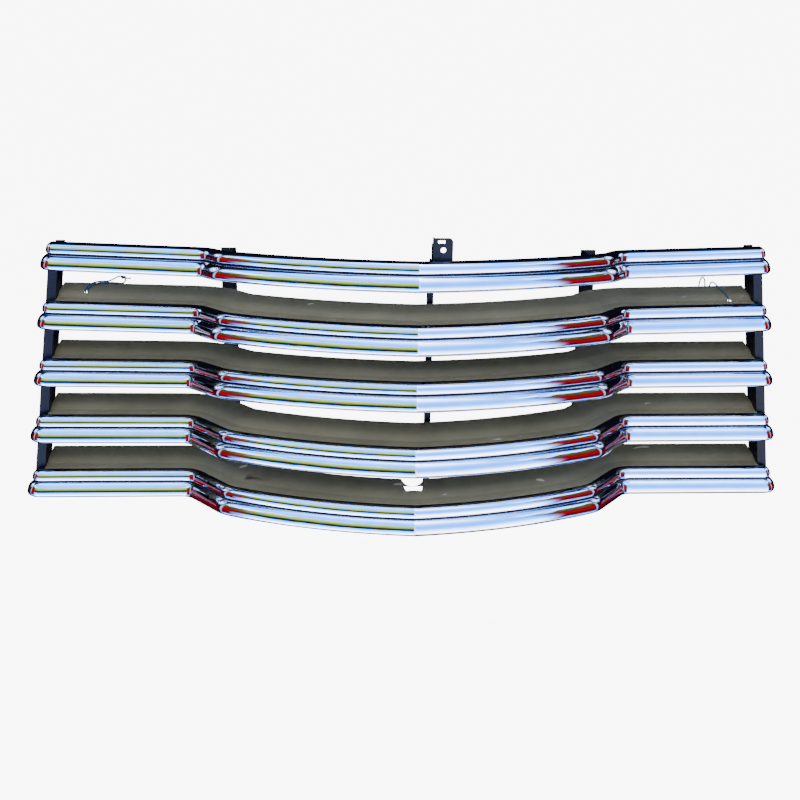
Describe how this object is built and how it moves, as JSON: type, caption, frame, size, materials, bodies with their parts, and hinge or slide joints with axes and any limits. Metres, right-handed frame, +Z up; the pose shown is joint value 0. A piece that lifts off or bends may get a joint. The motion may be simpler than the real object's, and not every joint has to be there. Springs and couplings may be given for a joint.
{
  "type": "front grille",
  "caption": "Wide bowed truck front grille: double-ridged chrome bars on black uprights, with painted shelf panels between the bars.",
  "frame": {"origin": "under the middle of the grille's box, in the plane of its feet", "axes": "+X to the right-hand side seen from the front, -Y to the front, +Z up"},
  "size_m": [1.44, 0.3016, 0.5132],
  "materials": {
    "chrome": "bright chrome plate on pressed steel",
    "panel_paint": "satin grey-olive enamel",
    "black_paint": "semi-gloss black enamel",
    "zinc": "zinc plate",
    "twine": "blue baling twine"
  },
  "bodies": {
    "root": {"top_bar": "chrome", "second_bar": "chrome", "third_bar": "chrome", "fourth_bar": "chrome", "bottom_bar": "chrome", "top_panel": "panel_paint", "second_panel": "panel_paint", "third_panel": "panel_paint", "lower_panel": "panel_paint", "left_outer_upright": "black_paint", "right_outer_upright": "black_paint", "left_inner_upright": "black_paint", "right_inner_upright": "black_paint", "centre_upright": "black_paint", "latch_bracket": "black_paint", "bar_clips": "zinc", "bar_bolts": "zinc", "bar_lock_washers": "zinc", "bar_nuts": "zinc", "panel_nuts": "zinc", "panel_end_screws": "zinc", "panel_end_nuts": "zinc", "bracket_bolts": "zinc", "bracket_nuts": "zinc", "left_tie": "twine", "right_tie": "twine"}
  },
  "joints": []
}
